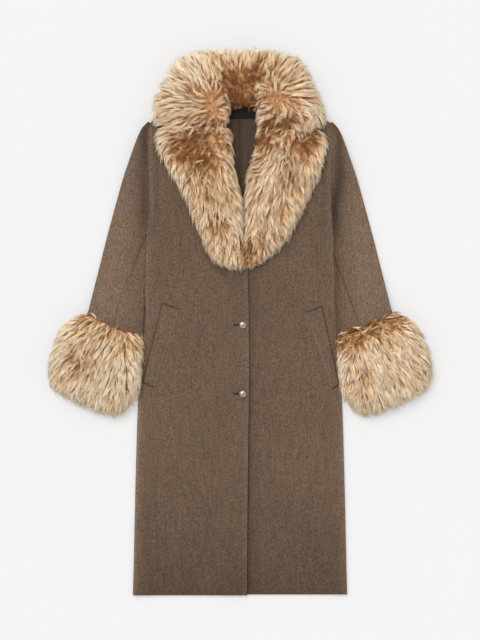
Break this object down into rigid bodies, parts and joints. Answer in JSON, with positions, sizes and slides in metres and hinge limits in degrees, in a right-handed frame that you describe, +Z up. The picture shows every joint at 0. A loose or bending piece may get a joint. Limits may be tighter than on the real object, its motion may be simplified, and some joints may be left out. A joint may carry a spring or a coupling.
{
  "type": "long coat with fur collar and fur cuffs, laid flat",
  "caption": "Long brown wool coat with a thick fur collar, fur lapels and wide fur cuffs, single-breasted with slanted welt pockets, laid flat on its back.",
  "frame": {"origin": "middle of the footprint of the coat laid flat on its back, on the surface it lies on", "axes": "+Z up out of the front of the coat, +Y from the hem to the collar, +X to the right of the view from above, which is the wearer's left"},
  "size_m": [0.9142, 1.318, 0.061],
  "materials": {
    "wool_cloth": "brushed wool melange, matt with a soft nap",
    "long_fur": "long-haired fur, honey and cream tips over darker brown roots",
    "button_metal": "aged pale metal, satin",
    "label_weave": "black woven tape, slight sheen"
  },
  "bodies": {
    "root": {"back_left": "wool_cloth", "back_right": "wool_cloth", "front_over": "wool_cloth", "front_under": "wool_cloth", "sleeve_top_left": "wool_cloth", "sleeve_top_right": "wool_cloth", "sleeve_under_left": "wool_cloth", "sleeve_under_right": "wool_cloth", "welt_left": "wool_cloth", "welt_right": "wool_cloth", "collar_fur": "long_fur", "lapel_fur_left": "long_fur", "lapel_fur_right": "long_fur", "cuff_fur_left": "long_fur", "cuff_fur_right": "long_fur", "button_upper": "button_metal", "button_lower": "button_metal", "label": "label_weave"}
  },
  "joints": []
}
